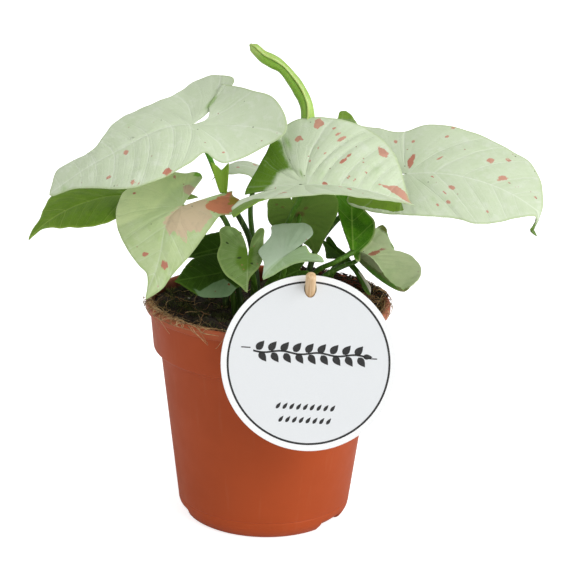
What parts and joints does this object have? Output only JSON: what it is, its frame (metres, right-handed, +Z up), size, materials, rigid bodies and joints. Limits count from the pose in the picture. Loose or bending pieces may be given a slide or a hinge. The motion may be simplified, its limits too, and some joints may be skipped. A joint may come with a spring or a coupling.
{
  "type": "potted milk confetti syngonium",
  "caption": "Compact arrowhead plant with pale, pink-splashed leaves on thin green stalks in a terracotta-coloured nursery pot, with a round plant label on a wooden stick.",
  "frame": {"origin": "centre of the pot's foot, on the surface that it stands on", "axes": "+Z up along the pot's axis; -Y towards the front, where the round label leans; +X to the right seen from the front"},
  "size_m": [0.2463, 0.1602, 0.2351],
  "materials": {
    "pot": "moulded terracotta-coloured plastic with a soft sheen",
    "peat": "rough dark peat with straw fibres, moss and a few white specks",
    "card": "smooth white card with a thin dark ring line near its edge",
    "stick": "plain pale wood, rounded at the end",
    "pale_leaf": "satin pale mint green with pink and salmon blotches, darker green margins and a green underside",
    "green_leaf": "satin mid green with paler veins",
    "dark_leaf": "glossy dark green with pale veins",
    "new_leaf": "glossy bright yellow-green, rolled",
    "petiole": "smooth green stalk, paler towards the leaf"
  },
  "bodies": {
    "root": {"pot": "pot", "soil": "peat", "label": "card", "label_stick": "stick", "leaf_upper_left": "pale_leaf", "leaf_front_left": "pale_leaf", "leaf_front_centre": "pale_leaf", "leaf_right": "pale_leaf", "leaf_far_left": "dark_leaf", "leaf_heart": "green_leaf", "leaf_low_centre": "pale_leaf", "leaf_hanging": "green_leaf", "leaf_glossy": "dark_leaf", "leaf_folded": "green_leaf", "leaf_narrow": "dark_leaf", "leaf_low_left": "dark_leaf", "leaf_shaded_left": "dark_leaf", "leaf_shaded_centre": "dark_leaf", "leaf_upright": "pale_leaf", "leaf_back_left": "pale_leaf", "leaf_back_right": "green_leaf", "leaf_rolled": "new_leaf", "petiole_upper_left": "petiole", "petiole_front_left": "petiole", "petiole_front_centre": "petiole", "petiole_right": "petiole", "petiole_far_left": "petiole", "petiole_heart": "petiole", "petiole_low_centre": "petiole", "petiole_hanging": "petiole", "petiole_glossy": "petiole", "petiole_folded": "petiole", "petiole_narrow": "petiole", "petiole_low_left": "petiole", "petiole_shaded_left": "petiole", "petiole_shaded_centre": "petiole", "petiole_upright": "petiole", "petiole_back_left": "petiole", "petiole_back_right": "petiole", "petiole_rolled": "petiole"}
  },
  "joints": []
}
